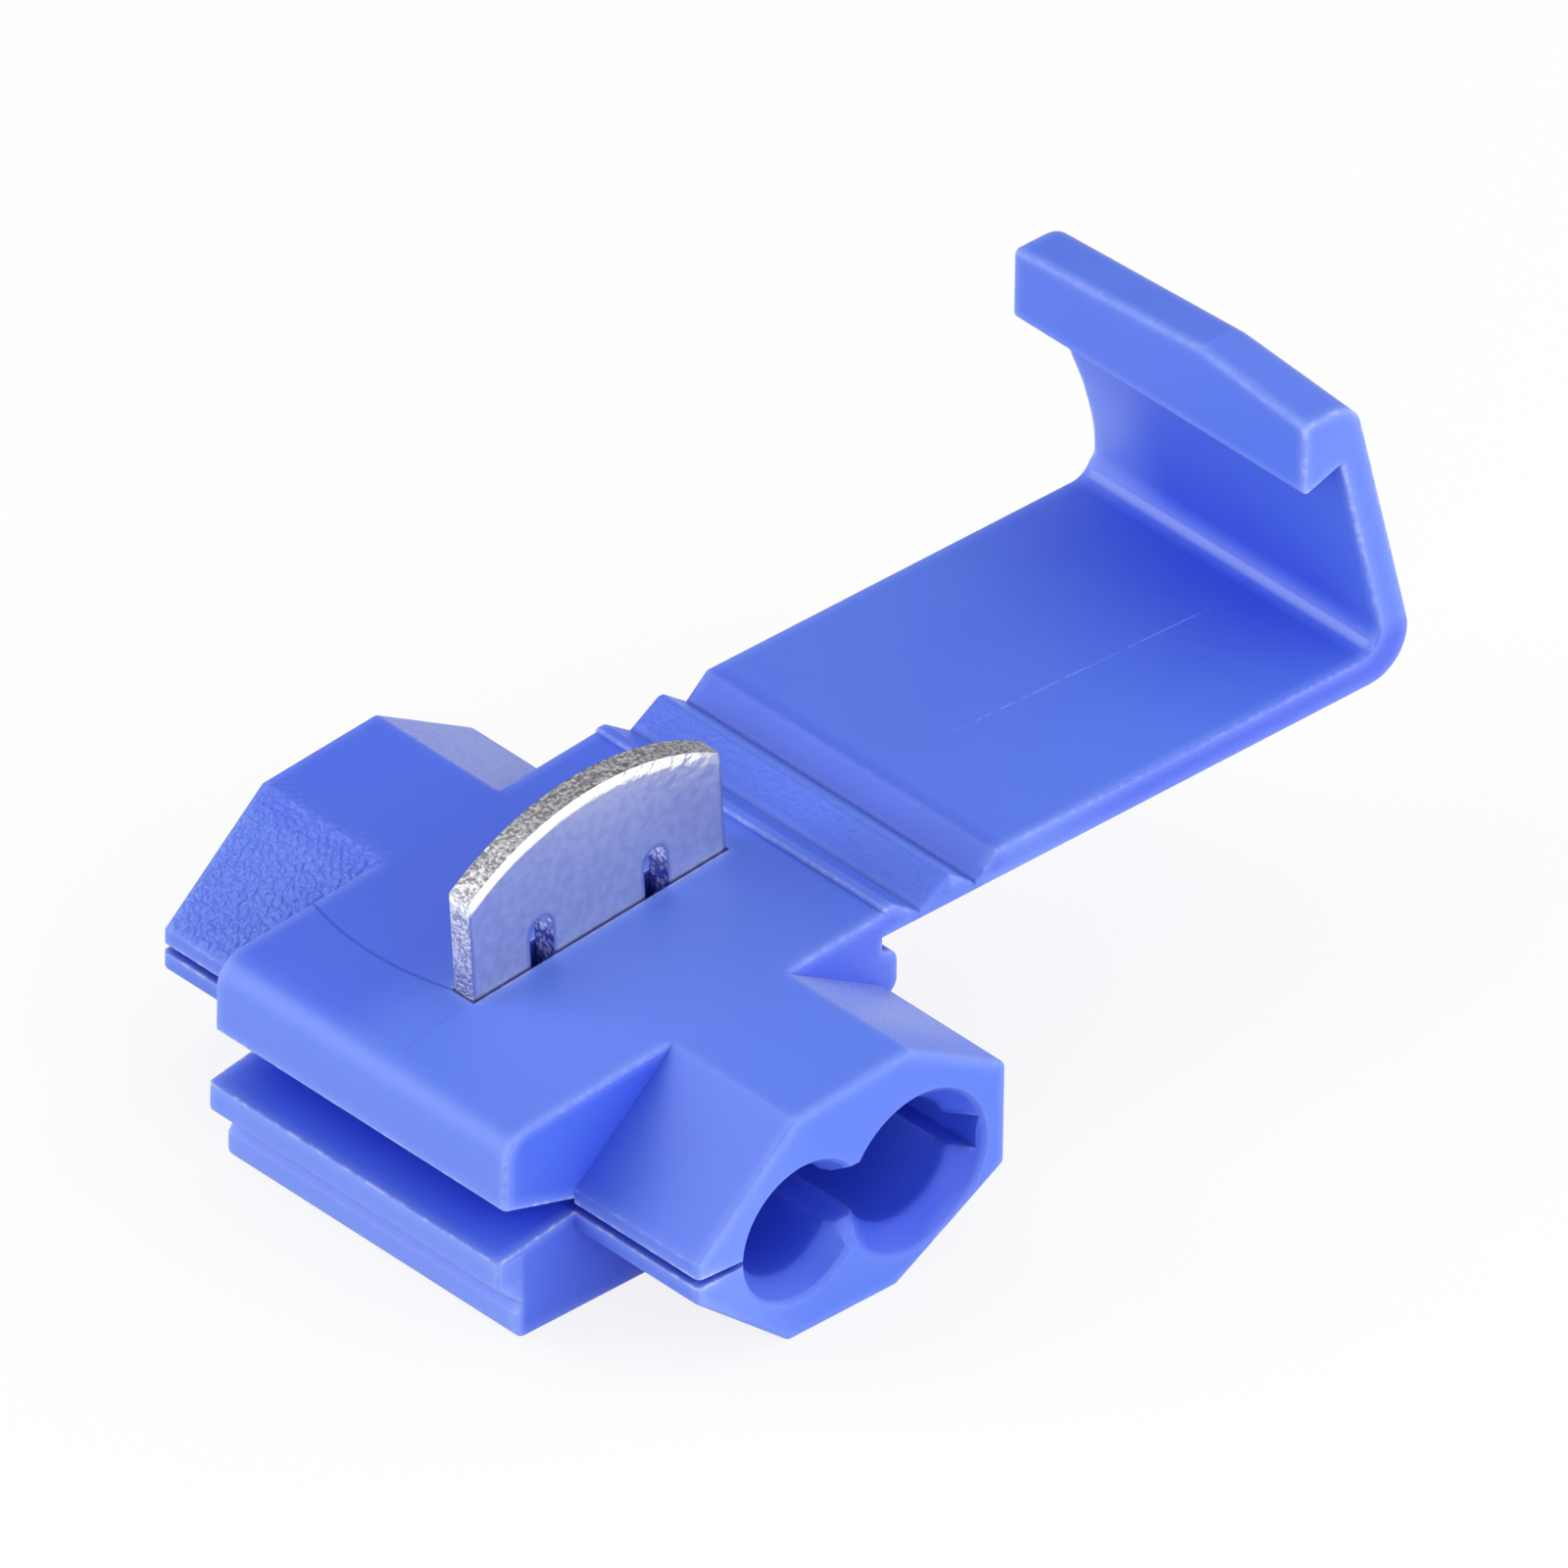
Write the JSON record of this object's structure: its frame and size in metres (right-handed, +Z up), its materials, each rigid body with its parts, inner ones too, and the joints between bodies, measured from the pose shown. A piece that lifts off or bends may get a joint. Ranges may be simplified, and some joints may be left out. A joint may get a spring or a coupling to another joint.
{
  "type": "quick splice wire connector",
  "caption": "Snap-shut moulded splice that joins a tap wire to a running wire, with side-by-side wire channels, a living-hinged cover with a hook, and a slotted metal blade",
  "frame": {"origin": "on the underside that it rests on, below the middle of the wire tunnel", "axes": "+X runs along both wires, out of the mouth of the tap wire's channel; +Y runs across the wires towards the open cover; +Z is up, the way the blade stands"},
  "size_m": [0.025, 0.0392, 0.0201],
  "materials": {
    "blue_plastic": "satin as moulded, slightly translucent",
    "tinned_metal": "tin-plated stamped sheet, rubbed bright along the domed edge"
  },
  "bodies": {
    "housing": {"housing": "blue_plastic"},
    "strap": {"hinge_strap": "blue_plastic"},
    "cover": {"cover": "blue_plastic"},
    "blade": {"contact_blade": "tinned_metal"}
  },
  "joints": [
    {"name": "strap_hinge", "type": "hinge", "parent": "housing", "child": "strap", "pos_m": [0, 0.0081, 0.00855], "axis": [1, 0, 0], "range_deg": [0, 69]},
    {"name": "cover_hinge", "type": "hinge", "parent": "strap", "child": "cover", "pos_m": [0, 0.01052, 0.00855], "axis": [1, 0, 0], "range_deg": [0, 69]},
    {"name": "blade_slide", "type": "slide", "parent": "housing", "child": "blade", "axis": [0, -0.0802, 0.9968], "range_m": [-0.0054, 0]}
  ],
  "couplings": [
    {"joint": "cover_hinge", "follows": "strap_hinge", "ratio": 1}
  ]
}
